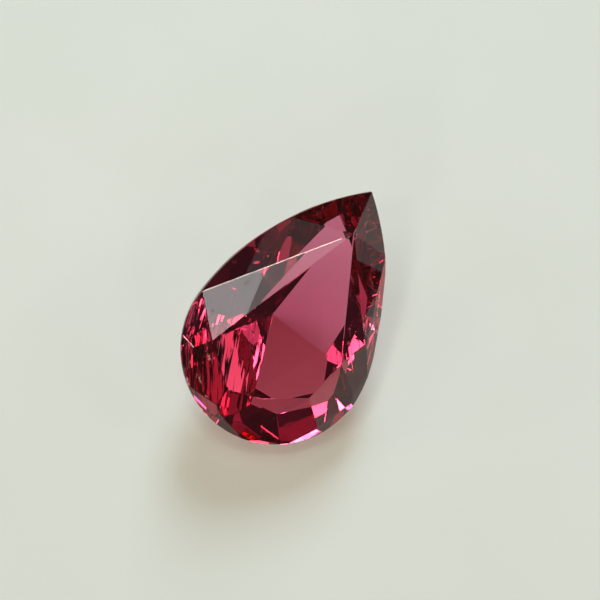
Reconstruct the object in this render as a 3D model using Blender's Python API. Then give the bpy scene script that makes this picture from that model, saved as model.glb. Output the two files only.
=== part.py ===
"""Pear-shaped faceted spinel, one solid cut from one crystal, lying on a facet of its pavilion.

The stone is cut as a lapidary cuts it. A pear-outlined preform is sliced by one flat plane per facet:
the table, the crown facets down to the girdle, and a pavilion of shallow facets around the culet and
steeper ones up to the girdle, in two tiers where the end is round. The facets don't mirror each other,
because the stone was cut by eye to keep its weight.

In the cutting frame the girdle's upper edge is near z = 0, the table faces +Z, the tip points along +X
and the centre of the round end is the origin. Seen on the table with the tip away, left is +Y.
"""

import math

import bmesh
import bpy
from mathutils import Matrix, Vector

# Driving dimensions in millimetres. The stone is cut at this scale and turned to metres at the end.
MILLIMETRE = 0.001
ROUND_RADIUS = 3.21  # round end of the outline, half the stone's width
TIP_DISTANCE = 6.105  # tip of the outline, from the centre of the round end
WING_START = 8.0  # degrees past the widest place, toward the tip, where the straighter wings begin
TABLE_HEIGHT = 0.92
GIRDLE_THICKNESS = 0.13
PAVILION_DEPTH = 2.75  # girdle's upper edge down to the culet

# Segments of the girdle outline: enough that its shortest chord stands 0.01 mm inside the true curve.
WING_SEGMENTS = 24
ROUND_SEGMENTS = 44

# The table's corners, x and y in millimetres, round from the tip.
TABLE_TIP = (4.57, -0.076)
TABLE_LEFT = (-0.862, 2.126)
TABLE_END_LEFT = (-1.989, 0.844)
TABLE_END = (-1.659, -0.293)
TABLE_END_RIGHT = (-0.849, -1.647)
TABLE_RIGHT = (0.698, -1.958)

# Where crown facets meet each other or the girdle: x, y, z in millimetres.
TIP_MEET = (6.106, 0.012, 0.08)
LEFT_WING_MEET = (4.017, 1.849, 0.05)
LEFT_SHOULDER_MEET = (0.355, 3.175, 0.35)
LEFT_ROUND_MEET = (-1.236, 2.967, 0.10)
RIGHT_WING_MEET = (4.519, -1.529, 0.03)
RIGHT_STAR_MEET = (2.58, -1.638, 0.63)
RIGHT_SHOULDER_MEET = (1.65, -2.455, 0.44)
RIGHT_SHOULDER_LOW = (0.543, -3.128, 0.10)
RIGHT_GIRDLE_MEET = (0.606, -3.172, 0.08)

# Crown facets of the round end that start at a table edge: their slope in degrees.
END_RIGHT_SLOPE = 29.5
END_SLOPE = 27.5
END_LEFT_SLOPE = 28.5
LEFT_ROUND_SLOPE = 35.0

# Break facets, which touch the girdle between the facets above: bearing and slope in degrees.
BREAK_HEIGHT = 0.02
BREAK_FACETS = ((-85, 46), (-107, 43), (-132, 50), (-156, 50), (178, 50), (156, 50), (124, 50))

# Pavilion facets through the culet: bearing and slope in degrees. The stone lies on the first.
CULET = (0.9, 0.52, -PAVILION_DEPTH)
REST_FACET = (-131.7, 25)
CULET_FACETS = ((-51, 28), (61, 43.5), (108, 40), (140, 35.5))

# Main tier up to the girdle: bearing and slope in degrees, and how far down it meets the stone's side.
MAIN_FACETS = (
    (-45, 46, 0.13), (-60, 49, 0.13), (-73, 50, 0.13), (-90, 50, 0.13), (-110, 49, 0.13),
    (-134, 43, 0.13), (-158, 43, 0.13), (178, 44, 0.3), (154, 46, 0.13), (130, 48, 0.13),
    (106, 50, 0.13), (84, 52, 0.13), (60, 55, 0.13), (45, 47, 0.13),
)

# Narrow steep facets between the main ones, tangent to the girdle's lower edge: their bearings.
RIM_SLOPE = 56
RIM_BEARINGS = (-100, -122, -146, -170, 166, 142, 118, 95)

# As the stone lies, its tip bears this many degrees from +X, turning toward +Y.
TIP_BEARING = 57.39

CUT_TOLERANCE = 1e-5
WELD_DISTANCE = 2e-3
OUTER_SIZE = 10.0  # half height of the uncut preform


def remove_objects():
    for obj in list(bpy.data.objects):
        bpy.data.objects.remove(obj, do_unlink=True)


def wing_arc():
    """Radius and centre of the left wing's arc, tangent to the round end and through the tip."""
    lean = math.sin(math.radians(WING_START))
    radius = (TIP_DISTANCE**2 + ROUND_RADIUS**2 - 2 * TIP_DISTANCE * ROUND_RADIUS * lean) / (
        2 * (ROUND_RADIUS - TIP_DISTANCE * lean)
    )
    toward = Vector((lean, math.cos(math.radians(WING_START))))
    return radius, toward * (ROUND_RADIUS - radius)


def pear_outline():
    """Points of the girdle outline, anticlockwise from the tip: wing, round end, wing."""
    radius, centre = wing_arc()
    start = math.atan2(-centre.y, TIP_DISTANCE - centre.x)
    end = math.radians(90 - WING_START)
    left = []
    for step in range(WING_SEGMENTS):
        angle = start + (end - start) * step / WING_SEGMENTS
        left.append(centre + radius * Vector((math.cos(angle), math.sin(angle))))
    points = list(left)
    for step in range(ROUND_SEGMENTS + 1):
        angle = end + (2 * math.pi - 2 * end) * step / ROUND_SEGMENTS
        points.append(ROUND_RADIUS * Vector((math.cos(angle), math.sin(angle))))
    points += [Vector((point.x, -point.y)) for point in reversed(left[1:])]
    return points


def facing(bearing, slope, down):
    """Outward normal of a facet that faces a bearing and slopes from the table's plane."""
    bearing = math.radians(bearing)
    slope = math.radians(slope)
    upright = -math.cos(slope) if down else math.cos(slope)
    return Vector((math.sin(slope) * math.cos(bearing), math.sin(slope) * math.sin(bearing), upright))


def through_three(a, b, c):
    """Plane through three meet points, as a point and an outward normal."""
    a, b, c = Vector(a), Vector(b), Vector(c)
    normal = (b - a).cross(c - a).normalized()
    if normal.z < 0:
        normal.negate()
    return a, normal


def at_table(corner):
    return (corner[0], corner[1], TABLE_HEIGHT)


def from_table_edge(first, second, slope):
    """Plane through an edge of the table, sloping down outward."""
    first, second = Vector(at_table(first)), Vector(at_table(second))
    along = second - first
    outward = Vector((along.y, -along.x, 0)).normalized()
    if outward.dot(first) < 0:
        outward.negate()
    slope = math.radians(slope)
    return first, outward * math.sin(slope) + Vector((0, 0, math.cos(slope)))


def on_girdle(outline, bearing, slope, height, down):
    """Plane that touches the outline where the outline faces the bearing."""
    normal = facing(bearing, slope, down)
    touched = max(outline, key=lambda point: point.x * normal.x + point.y * normal.y)
    return Vector((touched.x, touched.y, height)), normal


def crown_planes(outline):
    """The table, the facets that meet at its corners, and the break facets of the round end."""
    tip = at_table(TABLE_TIP)
    left = at_table(TABLE_LEFT)
    right = at_table(TABLE_RIGHT)
    planes = [
        (Vector((0, 0, TABLE_HEIGHT)), Vector((0, 0, 1))),
        through_three(tip, LEFT_SHOULDER_MEET, left),
        through_three(tip, RIGHT_STAR_MEET, right),
        through_three(tip, TIP_MEET, LEFT_WING_MEET),
        through_three(tip, LEFT_WING_MEET, LEFT_SHOULDER_MEET),
        through_three(tip, TIP_MEET, RIGHT_WING_MEET),
        through_three(tip, RIGHT_STAR_MEET, RIGHT_WING_MEET),
        through_three(LEFT_SHOULDER_MEET, left, LEFT_ROUND_MEET),
        through_three(right, RIGHT_SHOULDER_MEET, RIGHT_SHOULDER_LOW),
        through_three(RIGHT_SHOULDER_MEET, RIGHT_WING_MEET, RIGHT_GIRDLE_MEET),
        from_table_edge(TABLE_RIGHT, TABLE_END_RIGHT, END_RIGHT_SLOPE),
        from_table_edge(TABLE_END_RIGHT, TABLE_END, END_SLOPE),
        from_table_edge(TABLE_END, TABLE_END_LEFT, END_LEFT_SLOPE),
        from_table_edge(TABLE_END_LEFT, TABLE_LEFT, LEFT_ROUND_SLOPE),
    ]
    for bearing, slope in BREAK_FACETS:
        planes.append(on_girdle(outline, bearing, slope, BREAK_HEIGHT, down=False))
    return planes


def pavilion_planes(outline):
    """The shallow facets around the culet, the main tier and the narrow rim facets of the round end."""
    planes = []
    for bearing, slope in (REST_FACET, *CULET_FACETS):
        planes.append((Vector(CULET), facing(bearing, slope, down=True)))
    for bearing, slope, depth in MAIN_FACETS:
        planes.append(on_girdle(outline, bearing, slope, -depth, down=True))
    for bearing in RIM_BEARINGS:
        planes.append(on_girdle(outline, bearing, RIM_SLOPE, -GIRDLE_THICKNESS, down=True))
    return planes


def preform(outline):
    """Uncut pear prism, taller than the stone on both sides of the girdle."""
    mesh = bmesh.new()
    ring = [mesh.verts.new((point.x, point.y, -OUTER_SIZE)) for point in outline]
    bottom = mesh.faces.new(ring)
    raised = bmesh.ops.extrude_face_region(mesh, geom=[bottom])
    top = [item for item in raised["geom"] if isinstance(item, bmesh.types.BMVert)]
    bmesh.ops.translate(mesh, verts=top, vec=(0, 0, 2 * OUTER_SIZE))
    bmesh.ops.recalc_face_normals(mesh, faces=mesh.faces[:])
    return mesh


def cut_facet(mesh, point, normal):
    """Slices off what lies outside a plane and closes the cut with one flat facet."""
    everything = mesh.verts[:] + mesh.edges[:] + mesh.faces[:]
    bmesh.ops.bisect_plane(
        mesh, geom=everything, dist=CUT_TOLERANCE, plane_co=point, plane_no=normal, clear_outer=True
    )
    rim = [edge for edge in mesh.edges if edge.is_boundary]
    if rim:
        bmesh.ops.edgeloop_fill(mesh, edges=rim)


def lying_on_facet():
    """Rotation from the cutting frame to the stone as it lies, resting facet down."""
    down = facing(*REST_FACET, down=True)
    up = -down
    tip = Vector((1, 0, 0))
    tip_in_plan = (tip - up * tip.dot(up)).normalized()
    side_in_plan = up.cross(tip_in_plan)
    laid = Matrix((tip_in_plan, side_in_plan, up))
    turned = Matrix.Rotation(math.radians(TIP_BEARING), 3, "Z")
    return turned @ laid


def spinel_material():
    """Clear rose-red spinel with a mirror polish."""
    material = bpy.data.materials.new("Polished rose-red spinel")
    material.use_nodes = True
    shader = material.node_tree.nodes["Principled BSDF"]
    shader.inputs["Base Color"].default_value = (0.72, 0.06, 0.14, 1.0)
    shader.inputs["Metallic"].default_value = 0.0
    shader.inputs["Roughness"].default_value = 0.02
    shader.inputs["IOR"].default_value = 1.718
    shader.inputs["Transmission Weight"].default_value = 1.0
    return material


def build_spinel():
    outline = pear_outline()
    mesh = preform(outline)
    for point, normal in crown_planes(outline) + pavilion_planes(outline):
        cut_facet(mesh, point, normal)
    bmesh.ops.remove_doubles(mesh, verts=mesh.verts[:], dist=WELD_DISTANCE)
    bmesh.ops.recalc_face_normals(mesh, faces=mesh.faces[:])

    rotation = lying_on_facet()
    laid = [rotation @ vert.co for vert in mesh.verts]
    low = Vector([min(place[axis] for place in laid) for axis in range(3)])
    high = Vector([max(place[axis] for place in laid) for axis in range(3)])
    footprint = Vector(((low.x + high.x) / 2, (low.y + high.y) / 2, low.z))
    bmesh.ops.scale(mesh, vec=(MILLIMETRE,) * 3, verts=mesh.verts[:])

    data = bpy.data.meshes.new("spinel")
    mesh.to_mesh(data)
    mesh.free()
    data.materials.append(spinel_material())
    stone = bpy.data.objects.new("spinel", data)
    stone.matrix_world = Matrix.Translation(-footprint * MILLIMETRE) @ rotation.to_4x4()
    bpy.context.scene.collection.objects.link(stone)
    return stone


def main():
    remove_objects()
    build_spinel()


main()
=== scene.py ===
"""Looks of the loose pear-shaped spinel: polished facets, bruted girdle, clear rose-red crystal.

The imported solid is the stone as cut. This script takes a copy of it, softens each facet edge by a
narrow flat, gives facets and girdle their finish, and sets the stone on a pale sheet in studio light.
"""

import math
import random

import bmesh
import bpy
from mathutils import Matrix, Vector


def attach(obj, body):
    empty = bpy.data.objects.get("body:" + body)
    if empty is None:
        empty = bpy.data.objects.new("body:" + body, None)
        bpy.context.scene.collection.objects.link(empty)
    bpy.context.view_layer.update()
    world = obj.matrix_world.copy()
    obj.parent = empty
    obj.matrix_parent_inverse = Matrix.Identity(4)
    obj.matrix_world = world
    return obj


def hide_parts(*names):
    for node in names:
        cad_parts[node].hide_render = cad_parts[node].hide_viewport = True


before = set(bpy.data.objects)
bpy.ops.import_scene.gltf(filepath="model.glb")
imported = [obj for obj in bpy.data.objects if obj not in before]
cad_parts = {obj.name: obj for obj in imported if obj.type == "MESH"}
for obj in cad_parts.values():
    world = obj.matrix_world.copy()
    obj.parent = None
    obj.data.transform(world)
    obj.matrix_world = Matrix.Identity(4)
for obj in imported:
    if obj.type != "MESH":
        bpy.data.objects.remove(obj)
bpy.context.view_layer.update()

bl_info = {
    "name": "Spinel Gemstone",
    "version": (1, 0, 0),
    "blender": (4, 5, 0),
    "location": "View3D > Sidebar > Spinel",
    "description": "Finishes a cut spinel and sets it on a pale sheet in studio light",
    "category": "Object",
}

MM = 0.001
STONE_NODE = "spinel"

# The stone is worked in millimetres. Corners this near are one corner, faces that turn this little
# are one facet, and a cut that passes this near a corner goes through it.
SAME_CORNER = 1e-3
SAME_FACET = math.radians(0.4)
EDGE_CUT_SNAP = 1e-6
LINE_CUT_SNAP = 1e-5

# Places of the two finishes in the stone's list of materials. A face gets the girdle's finish if it
# is this nearly square to the table, as a cosine.
POLISHED = 0
BRUTED = 1
GIRDLE_SLANT = 0.02

# Outward directions of the two pavilion facets at the left that show growth lines, and the way
# along which those lines run.
LINED_FACETS = (Vector((-0.655, 0.128, -0.745)), Vector((-0.722, 0.410, -0.557)))
STREAK_WAY = Vector((0.20, 0.97, 0.10))

# How the growth lines vary: seed of the draws, least and most share of the usual spacing, most lean
# in degrees, spacing of the breaks across them as a multiple of theirs, and least and most share of
# a line's depth at a corner. A corner this near a line, in millimetres, lies on it.
LINE_SEED = 7
SPACING_SHARE = (0.45, 1.6)
LINE_LEAN = 4
BREAK_SPACING = 5
DEPTH_SHARE = (0.4, 1.0)
ON_LINE = 1e-4

# Point in the middle of the picture, which the camera and all lights face.
AIM = Vector((0.559, 0.503, 2.606)) * MM
LIGHT_REACH = 300 * MM

# The back softbox is as cool as daylight and the lamps are warm, so that the shadow is warm.
COOL = "D6ECFF"
WARM = "FFF6E4"
WHITE = "FFFFFF"

# Panes of the overhead window: name, width and length in millimetres, share of the full strength,
# and shift across and along in millimetres. All hang at one azimuth and elevation, with one turn,
# in degrees.
WINDOW_PLACE = (149, 78)
WINDOW_TURN = -24.0
PANES = (
    ("Bright pane", (60, 90), 1.0, (-45.4, -12)),
    ("Shaded pane", (40, 90), 0.38, (18.2, 8)),
    ("Dim pane", (45, 44), 0.09, (-16, 104)),
)

# Small lamps that light the pavilion: azimuth and elevation in degrees, side in millimetres, share
# of the full strength.
LAMPS = (
    (111, 66, 22, 1.55),
    (134, 69, 22, 1.55),
    (86, 84, 40, 1.0),
    (147, 39, 22, 1.55),
    (148, 18, 22, 1.55),
    (158, 13, 42, 0.12),
    (184, 12, 40, 1.0),
    (217, 15, 22, 1.55),
    (33, 6, 42, 0.2),
    (246, 30, 40, 1.0),
    (258, 9, 40, 1.0),
    (300, 36, 22, 1.55),
    (327, 45, 22, 1.1),
    (357, 30, 40, 1.0),
)

# Softboxes: name, azimuth and elevation in degrees, side in millimetres, share of the full
# strength, tint.
SOFTBOXES = (
    ("Back softbox", (80, 31), 105, 1.0, COOL),
    ("Front softbox", (222, 64), 40, 0.34, WARM),
)

# Pale walls: name, azimuth and elevation in degrees, width and height in millimetres, brightness
# where a white sheet is 1. The rest of the room is dim, with a brightness on the same scale.
WALLS = (
    ("Pale wall at the right", (-2, 1.5), (230, 46), 0.4),
    ("Pale wall at the left", (178, 6), (110, 40), 0.35),
)
ROOM_LIGHT = 0.05

# Gap that keeps the sheet from touching the facet that the stone lies on.
SHEET_GAP = 0.002 * MM

# The camera has a long lens. The picture is 600 pixels wide, and a millimetre at the stone takes up
# 30.06 of them. Lens and sensor are in millimetres, the nearest and farthest seen in metres.
LENS = 200.0
SENSOR = 36.0
PICTURE_WIDTH = 600
PIXELS_PER_MM = 30.06
NEAREST_SEEN = 1 * MM
FARTHEST_SEEN = 10.0


def linear(hex_colour):
    """Linear RGBA of an sRGB hex colour such as "C0FFEE"."""
    channels = []
    for start in (0, 2, 4):
        value = int(hex_colour[start : start + 2], 16) / 255
        channels.append(value / 12.92 if value <= 0.04045 else ((value + 0.055) / 1.055) ** 2.4)
    return (*channels, 1.0)


class StoneSettings(bpy.types.PropertyGroup):
    """Finish of the cut stone."""

    edge_flat: bpy.props.FloatProperty(
        name="Edge flat",
        description="Width of the worn flat along each facet edge",
        default=0.026 * MM,
        unit="LENGTH",
        precision=6,
    )
    least_turn: bpy.props.FloatProperty(
        name="Least turn",
        description="Edges that turn less than this stay untouched",
        default=math.radians(6.0),
        subtype="ANGLE",
    )
    line_spacing: bpy.props.FloatProperty(
        name="Line spacing",
        description="Usual distance between growth lines on the lined facets",
        default=0.07 * MM,
        unit="LENGTH",
        precision=6,
    )
    line_tilt: bpy.props.FloatProperty(
        name="Line tilt",
        description="Most that a strip between two growth lines tilts",
        default=math.radians(3.5),
        subtype="ANGLE",
    )
    refraction: bpy.props.FloatProperty(
        name="Refraction",
        description="Index of refraction of spinel",
        default=1.718,
    )
    crystal_colour: bpy.props.FloatVectorProperty(
        name="Crystal colour",
        description="Colour that the crystal lets through; it absorbs the rest",
        default=linear("F0B4CA"),
        subtype="COLOR",
        size=4,
        min=0.0,
        max=1.0,
    )
    crystal_density: bpy.props.FloatProperty(
        name="Crystal density",
        description="How strongly the crystal absorbs the rest, per metre",
        default=630.0,
    )


class StudioSettings(bpy.types.PropertyGroup):
    """Sheet, lights and camera around the stone."""

    sheet_width: bpy.props.FloatProperty(
        name="Sheet width",
        description="Side of the pale sheet that the stone lies on",
        default=400 * MM,
        unit="LENGTH",
    )
    key_strength: bpy.props.FloatProperty(
        name="Key strength",
        description="Brightness of the overhead window's brightest pane, where a white sheet is 1",
        default=3.3,
    )
    lamp_strength: bpy.props.FloatProperty(
        name="Lamp strength",
        description="Brightness of the small lamps, where a white sheet is 1",
        default=9.0,
    )
    fill_strength: bpy.props.FloatProperty(
        name="Fill strength",
        description="Brightness of the larger of the two softboxes, where a white sheet is 1",
        default=20.0,
    )
    camera_elevation: bpy.props.FloatProperty(
        name="Camera elevation",
        description="Height of the line of sight above the sheet",
        default=math.radians(70.82),
        subtype="ANGLE",
    )


def add_node(tree, kind, links=None, stops=(), **values):
    """Adds a node and fills its inputs.

    links pair an input's name with the socket that feeds it, values set the other inputs, and stops
    are the positions and linear RGBA colours of a colour ramp, from low to high.
    """
    node = tree.nodes.new(kind)
    for name, value in values.items():
        node.inputs[name.replace("_", " ")].default_value = value
    for name, socket in (links or {}).items():
        tree.links.new(socket, node.inputs[name])
    for index, (position, colour) in enumerate(stops):
        elements = node.color_ramp.elements
        stop = elements[index] if index < len(elements) else elements.new(position)
        stop.position = position
        stop.color = colour
    return node


def empty_material(name):
    """A material without nodes, and its node tree."""
    material = bpy.data.materials.new(name)
    material.use_nodes = True
    material.node_tree.nodes.clear()
    return material, material.node_tree


def grey(level):
    """A linear level, such as a roughness, as RGBA."""
    return (level, level, level, 1.0)


def mottling(tree, per_mm, detail, stretch=(1.0, 1.0, 1.0), distortion=0.0):
    """Soft random spots over a piece, about per_mm of them in a millimetre."""
    place = add_node(tree, "ShaderNodeTexCoord")
    spread = add_node(
        tree,
        "ShaderNodeMapping",
        {"Vector": place.outputs["Object"]},
        Scale=[per_mm / MM * part for part in stretch],
    )
    spots = add_node(
        tree,
        "ShaderNodeTexNoise",
        {"Vector": spread.outputs["Vector"]},
        Scale=1.0,
        Detail=detail,
        Distortion=distortion,
    )
    return spots.outputs["Fac"]


def polished_spinel():
    """Spinel polished to a mirror: clear inside, rose red by how much light it takes away."""
    settings = bpy.context.scene.spinel_stone
    material, tree = empty_material("Polished rose-red spinel")
    # The red is a little stronger in some growth zones than in others. They are 2 mm wide.
    zones = mottling(tree, per_mm=0.5, detail=2.0, stretch=(1.0, 0.4, 1.0))
    red = add_node(
        tree,
        "ShaderNodeValToRGB",
        {"Fac": zones},
        stops=[(0.35, linear("FFB6D2")), (0.65, linear("FFBEDA"))],
    )
    # Dust and the faint smear of a finger dull the polish here and there. The dust is drawn coarser
    # than in life, where it would be too fine to see.
    smears = mottling(tree, per_mm=2.2, detail=5.0, stretch=(1.0, 0.6, 1.0), distortion=0.4)
    dullness = add_node(
        tree,
        "ShaderNodeValToRGB",
        {"Fac": smears},
        stops=[(0.50, grey(0.0)), (0.66, grey(0.05)), (0.74, grey(0.3))],
    )
    surface = add_node(
        tree,
        "ShaderNodeBsdfPrincipled",
        {"Base Color": red.outputs["Color"], "Roughness": dullness.outputs["Color"]},
        IOR=settings.refraction,
        Transmission_Weight=1.0,
    )
    crystal = add_node(
        tree,
        "ShaderNodeVolumeAbsorption",
        Color=settings.crystal_colour,
        Density=settings.crystal_density,
    )
    add_node(
        tree,
        "ShaderNodeOutputMaterial",
        {"Surface": surface.outputs["BSDF"], "Volume": crystal.outputs["Volume"]},
    )
    return material


def bruted_spinel():
    """Girdle ground round and left unpolished: a fine frosted band with grime in its grain."""
    settings = bpy.context.scene.spinel_stone
    material, tree = empty_material("Bruted spinel girdle")
    # The grain is drawn coarser than in life, where it would be too fine to see.
    grain = mottling(tree, per_mm=14.0, detail=2.0)
    grime = add_node(
        tree,
        "ShaderNodeValToRGB",
        {"Fac": grain},
        stops=[(0.35, linear("4A2422")), (0.65, linear("6A3630"))],
    )
    frosting = add_node(
        tree,
        "ShaderNodeValToRGB",
        {"Fac": grain},
        stops=[(0.3, grey(0.38)), (0.7, grey(0.52))],
    )
    surface = add_node(
        tree,
        "ShaderNodeBsdfPrincipled",
        {"Base Color": grime.outputs["Color"], "Roughness": frosting.outputs["Color"]},
        IOR=settings.refraction,
        Transmission_Weight=1.0,
    )
    add_node(tree, "ShaderNodeOutputMaterial", {"Surface": surface.outputs["BSDF"]})
    return material


def off_white_card():
    """Uncoated card, off-white and finely fibrous, with a faint painted warm glow that stands in for
    light through it from below and lifts the shade around the stone.
    """
    material, tree = empty_material("Off-white card")
    clouds = mottling(tree, per_mm=0.12, detail=2.0)
    off_white = add_node(
        tree,
        "ShaderNodeValToRGB",
        {"Fac": clouds},
        stops=[(0.35, linear("E1E6DB")), (0.65, linear("E5E9DF"))],
    )
    # The fibres are drawn some 0.2 mm wide, coarser than in life, where they would be too fine to see.
    fibres = mottling(tree, per_mm=6.0, detail=3.0, stretch=(1.0, 0.35, 1.0), distortion=1.0)
    relief = add_node(
        tree, "ShaderNodeBump", {"Height": fibres}, Strength=0.25, Distance=0.01 * MM
    )
    surface = add_node(
        tree,
        "ShaderNodeBsdfPrincipled",
        {"Base Color": off_white.outputs["Color"], "Normal": relief.outputs["Normal"]},
        Roughness=0.9,
        # Painted warm glow: the card itself emits this light, which stands in for light through it from
        # below and brightens the shade under and beside the stone.
        Emission_Color=linear("F5E6C8"),
        Emission_Strength=0.21,
    )
    add_node(tree, "ShaderNodeOutputMaterial", {"Surface": surface.outputs["BSDF"]})
    return material


def merged_copy(node):
    """The node's mesh as a bmesh in millimetres, with its loose triangles joined into facets."""
    mesh = bmesh.new()
    mesh.from_mesh(node.data)
    bmesh.ops.scale(mesh, vec=(1 / MM,) * 3, verts=mesh.verts[:])
    bmesh.ops.remove_doubles(mesh, verts=mesh.verts[:], dist=SAME_CORNER)
    bmesh.ops.dissolve_limit(
        mesh, angle_limit=SAME_FACET, verts=mesh.verts[:], edges=mesh.edges[:]
    )
    return mesh


def soften_edges(mesh, width, least_turn):
    """Slices a narrow flat along each edge between facets, as handling wears it."""
    cuts = []
    for edge in mesh.edges:
        first, second = (face.normal for face in edge.link_faces)
        turn = first.angle(second)
        if turn < least_turn:
            continue
        between = (first + second).normalized()
        depth = width / 2 * math.tan(turn / 2)
        middle = (edge.verts[0].co + edge.verts[1].co) / 2
        cuts.append((middle - between * depth, between))
    for point, normal in cuts:
        bmesh.ops.bisect_plane(
            mesh,
            geom=mesh.verts[:] + mesh.edges[:] + mesh.faces[:],
            dist=EDGE_CUT_SNAP,
            plane_co=point,
            plane_no=normal,
            clear_outer=True,
        )
        rim = [edge for edge in mesh.edges if edge.is_boundary]
        if rim:
            bmesh.ops.edgeloop_fill(mesh, edges=rim)


def uneven_cuts(facet, across, normal, spacing, chance):
    """Cutting planes square to a facet, unevenly spaced and not quite parallel."""
    reach = [vert.co.dot(across) for vert in facet.verts]
    centre = facet.calc_center_median()
    cuts = []
    place = min(reach) + spacing
    while place < max(reach) - spacing / 2:
        lean = math.radians(chance.uniform(-LINE_LEAN, LINE_LEAN))
        point = centre + across * (place - centre.dot(across))
        cuts.append((point, Matrix.Rotation(lean, 3, normal) @ across))
        place += spacing * chance.uniform(*SPACING_SHARE)
    return cuts


def cut_strips(mesh, faces, cuts):
    """Cuts the faces along the planes, and returns all parts of them."""
    for point, across in cuts:
        parts = {part for face in faces for part in (face, *face.edges, *face.verts)}
        cut = bmesh.ops.bisect_plane(
            mesh, geom=list(parts), dist=LINE_CUT_SNAP, plane_co=point, plane_no=across
        )
        faces = {part for part in (*cut["geom"], *faces) if part.is_valid}
        faces = {part for part in faces if isinstance(part, bmesh.types.BMFace)}
    return faces


def cut_growth_lines(mesh, facing, spacing, tilt):
    """Cuts one facet into fine strips that tilt to and fro, as growth lines do on a polished facet."""
    facet = max(mesh.faces, key=lambda face: face.normal.dot(facing))
    normal = facet.normal.copy()
    across = normal.cross(STREAK_WAY).normalized()
    along = across.cross(normal)
    level = facet.verts[0].co.dot(normal)
    chance = random.Random(LINE_SEED)
    lines = uneven_cuts(facet, across, normal, spacing, chance)
    breaks = uneven_cuts(facet, along, normal, BREAK_SPACING * spacing, chance)
    strips = cut_strips(mesh, cut_strips(mesh, {facet}, breaks), lines)
    depths = [spacing * math.tan(tilt) * chance.random() for line in lines]
    corners = {vert for face in strips for vert in face.verts}
    for vert in sorted(corners, key=lambda vert: (vert.co.dot(across), vert.co.dot(along))):
        gaps = [abs((vert.co - point).dot(way_across)) for point, way_across in lines]
        nearest = gaps.index(min(gaps))
        on_facet = abs(vert.co.dot(normal) - level) < SAME_CORNER
        if on_facet and gaps[nearest] < ON_LINE:
            vert.co -= normal * depths[nearest] * chance.uniform(*DEPTH_SHARE)


class SPINEL_OT_finish_stone(bpy.types.Operator):
    """Softens the facet edges of the cut stone and gives facets and girdle their finish"""

    bl_idname = "spinel.finish_stone"
    bl_label = "Finish Stone"

    def execute(self, context):
        settings = context.scene.spinel_stone
        mesh = merged_copy(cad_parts[STONE_NODE])
        table = max(mesh.faces, key=lambda face: face.calc_area() if face.normal.z > 0 else 0)
        table_way = table.normal.copy()
        soften_edges(mesh, settings.edge_flat / MM, settings.least_turn)
        mesh.normal_update()
        for facing in LINED_FACETS:
            cut_growth_lines(mesh, facing, settings.line_spacing / MM, settings.line_tilt)
        mesh.normal_update()
        for face in mesh.faces:
            on_girdle = abs(face.normal.dot(table_way)) < GIRDLE_SLANT
            face.material_index = BRUTED if on_girdle else POLISHED
        bmesh.ops.triangulate(mesh, faces=mesh.faces[:])
        bmesh.ops.scale(mesh, vec=(MM,) * 3, verts=mesh.verts[:])
        data = bpy.data.meshes.new("polished_spinel")
        mesh.to_mesh(data)
        mesh.free()
        data.materials.append(polished_spinel())
        data.materials.append(bruted_spinel())
        stone = bpy.data.objects.new("polished_spinel", data)
        context.scene.collection.objects.link(stone)
        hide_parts(STONE_NODE)
        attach(stone, "root")
        return {"FINISHED"}


def lay_sheet(scene, width):
    """Pale sheet under the stone."""
    mesh = bmesh.new()
    bmesh.ops.create_grid(mesh, x_segments=1, y_segments=1, size=width / 2)
    data = bpy.data.meshes.new("sheet")
    mesh.to_mesh(data)
    mesh.free()
    data.materials.append(off_white_card())
    sheet = bpy.data.objects.new("sheet", data)
    sheet.location.z = -SHEET_GAP
    scene.collection.objects.link(sheet)


def way(azimuth, elevation):
    """Direction from the stone, azimuth counted in degrees from the right, anticlockwise."""
    turn = math.radians(azimuth)
    rise = math.radians(elevation)
    return Vector((math.cos(turn) * math.cos(rise), math.sin(turn) * math.cos(rise), math.sin(rise)))


def hang_panel(scene, name, place, size, radiance, tint=WHITE, shift=(0.0, 0.0), turn=0.0):
    """A lit panel that faces the stone.

    place is its azimuth and elevation in degrees, size and shift are in millimetres, and a radiance
    of 1 is as bright as a lit white sheet.
    """
    toward = way(*place)
    across = Vector((0, 1, 0)).cross(toward).normalized()
    along = toward.cross(across)
    centre = AIM + toward * LIGHT_REACH + (across * shift[0] + along * shift[1]) * MM
    data = bpy.data.lights.new(name, "AREA")
    data.shape = "RECTANGLE"
    data.size = size[0] * MM
    data.size_y = size[1] * MM
    data.energy = radiance * math.pi * data.size * data.size_y
    data.color = linear(tint)[:3]
    light = bpy.data.objects.new(name, data)
    spin = math.radians(turn)
    side = across * math.cos(spin) + along * math.sin(spin)
    axes = Matrix((side, toward.cross(side), toward)).transposed()
    light.matrix_world = Matrix.Translation(centre) @ axes.to_4x4()
    light.visible_camera = False
    scene.collection.objects.link(light)


def hang_lights(scene, studio):
    """Overhead window, small lamps, softboxes and pale walls, in a dim room."""
    for name, size, share, shift in PANES:
        strength = studio.key_strength * share
        hang_panel(scene, name, WINDOW_PLACE, size, strength, WHITE, shift, WINDOW_TURN)
    for azimuth, elevation, side, share in LAMPS:
        name = f"Lamp at {azimuth} degrees"
        strength = studio.lamp_strength * share
        hang_panel(scene, name, (azimuth, elevation), (side, side), strength, WARM)
    for name, place, side, share, tint in SOFTBOXES:
        hang_panel(scene, name, place, (side, side), studio.fill_strength * share, tint)
    for name, place, size, radiance in WALLS:
        hang_panel(scene, name, place, size, radiance)
    world = bpy.data.worlds.new("Dim studio")
    scene.world = world
    world.use_nodes = True
    background = world.node_tree.nodes["Background"]
    background.inputs["Color"].default_value = linear(WHITE)
    background.inputs["Strength"].default_value = ROOM_LIGHT


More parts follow.
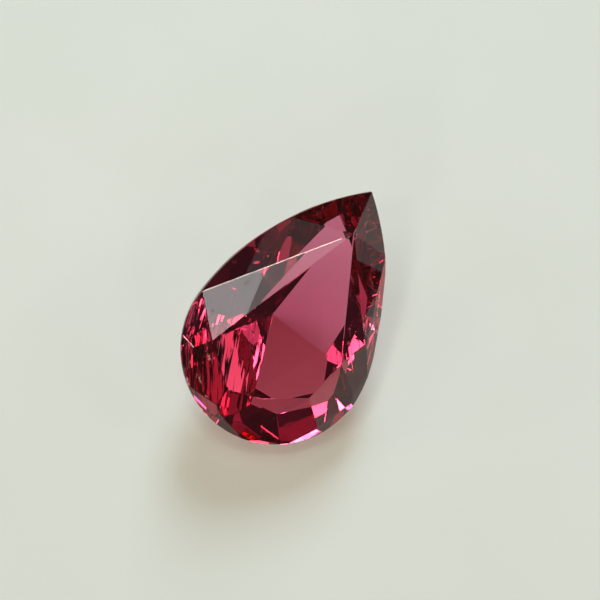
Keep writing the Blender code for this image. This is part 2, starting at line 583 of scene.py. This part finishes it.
def place_camera(scene, rise):
    """Camera that looks down at the stone from the front, at rise above the sheet."""
    data = bpy.data.cameras.new("Camera")
    data.lens = LENS
    data.sensor_width = SENSOR
    data.clip_start = NEAREST_SEEN
    data.clip_end = FARTHEST_SEEN
    camera = bpy.data.objects.new("Camera", data)
    away = Vector((0, -math.cos(rise), math.sin(rise)))
    seen_width = PICTURE_WIDTH / PIXELS_PER_MM * MM
    camera.location = AIM + away * (seen_width * LENS / SENSOR)
    camera.rotation_euler = away.to_track_quat("Z", "Y").to_euler()
    scene.collection.objects.link(camera)
    scene.camera = camera


class SPINEL_OT_set_stage(bpy.types.Operator):
    """Lays the pale sheet and sets the lights and the camera"""

    bl_idname = "spinel.set_stage"
    bl_label = "Set Stage"

    def execute(self, context):
        scene = context.scene
        studio = scene.spinel_studio
        lay_sheet(scene, studio.sheet_width)
        hang_lights(scene, studio)
        place_camera(scene, studio.camera_elevation)
        # Light crosses the stone many times before it comes out.
        scene.cycles.max_bounces = 24
        scene.cycles.glossy_bounces = 20
        scene.cycles.transmission_bounces = 20
        scene.view_settings.view_transform = "Standard"
        return {"FINISHED"}


class SPINEL_PT_panel(bpy.types.Panel):
    """Finishes the stone and sets the stage"""

    bl_label = "Spinel Gemstone"
    bl_space_type = "VIEW_3D"
    bl_region_type = "UI"
    bl_category = "Spinel"

    def draw(self, context):
        layout = self.layout
        for settings in (context.scene.spinel_stone, context.scene.spinel_studio):
            for name in settings.bl_rna.properties.keys():
                if name not in ("rna_type", "name"):
                    layout.prop(settings, name)
        layout.operator(SPINEL_OT_finish_stone.bl_idname)
        layout.operator(SPINEL_OT_set_stage.bl_idname)


CLASSES = (
    StoneSettings,
    StudioSettings,
    SPINEL_OT_finish_stone,
    SPINEL_OT_set_stage,
    SPINEL_PT_panel,
)


def register():
    for cls in CLASSES:
        bpy.utils.register_class(cls)
    bpy.types.Scene.spinel_stone = bpy.props.PointerProperty(type=StoneSettings)
    bpy.types.Scene.spinel_studio = bpy.props.PointerProperty(type=StudioSettings)


def unregister():
    del bpy.types.Scene.spinel_studio
    del bpy.types.Scene.spinel_stone
    for cls in reversed(CLASSES):
        bpy.utils.unregister_class(cls)


def main():
    register()
    bpy.ops.spinel.finish_stone()
    bpy.ops.spinel.set_stage()


if __name__ == "__main__":
    main()
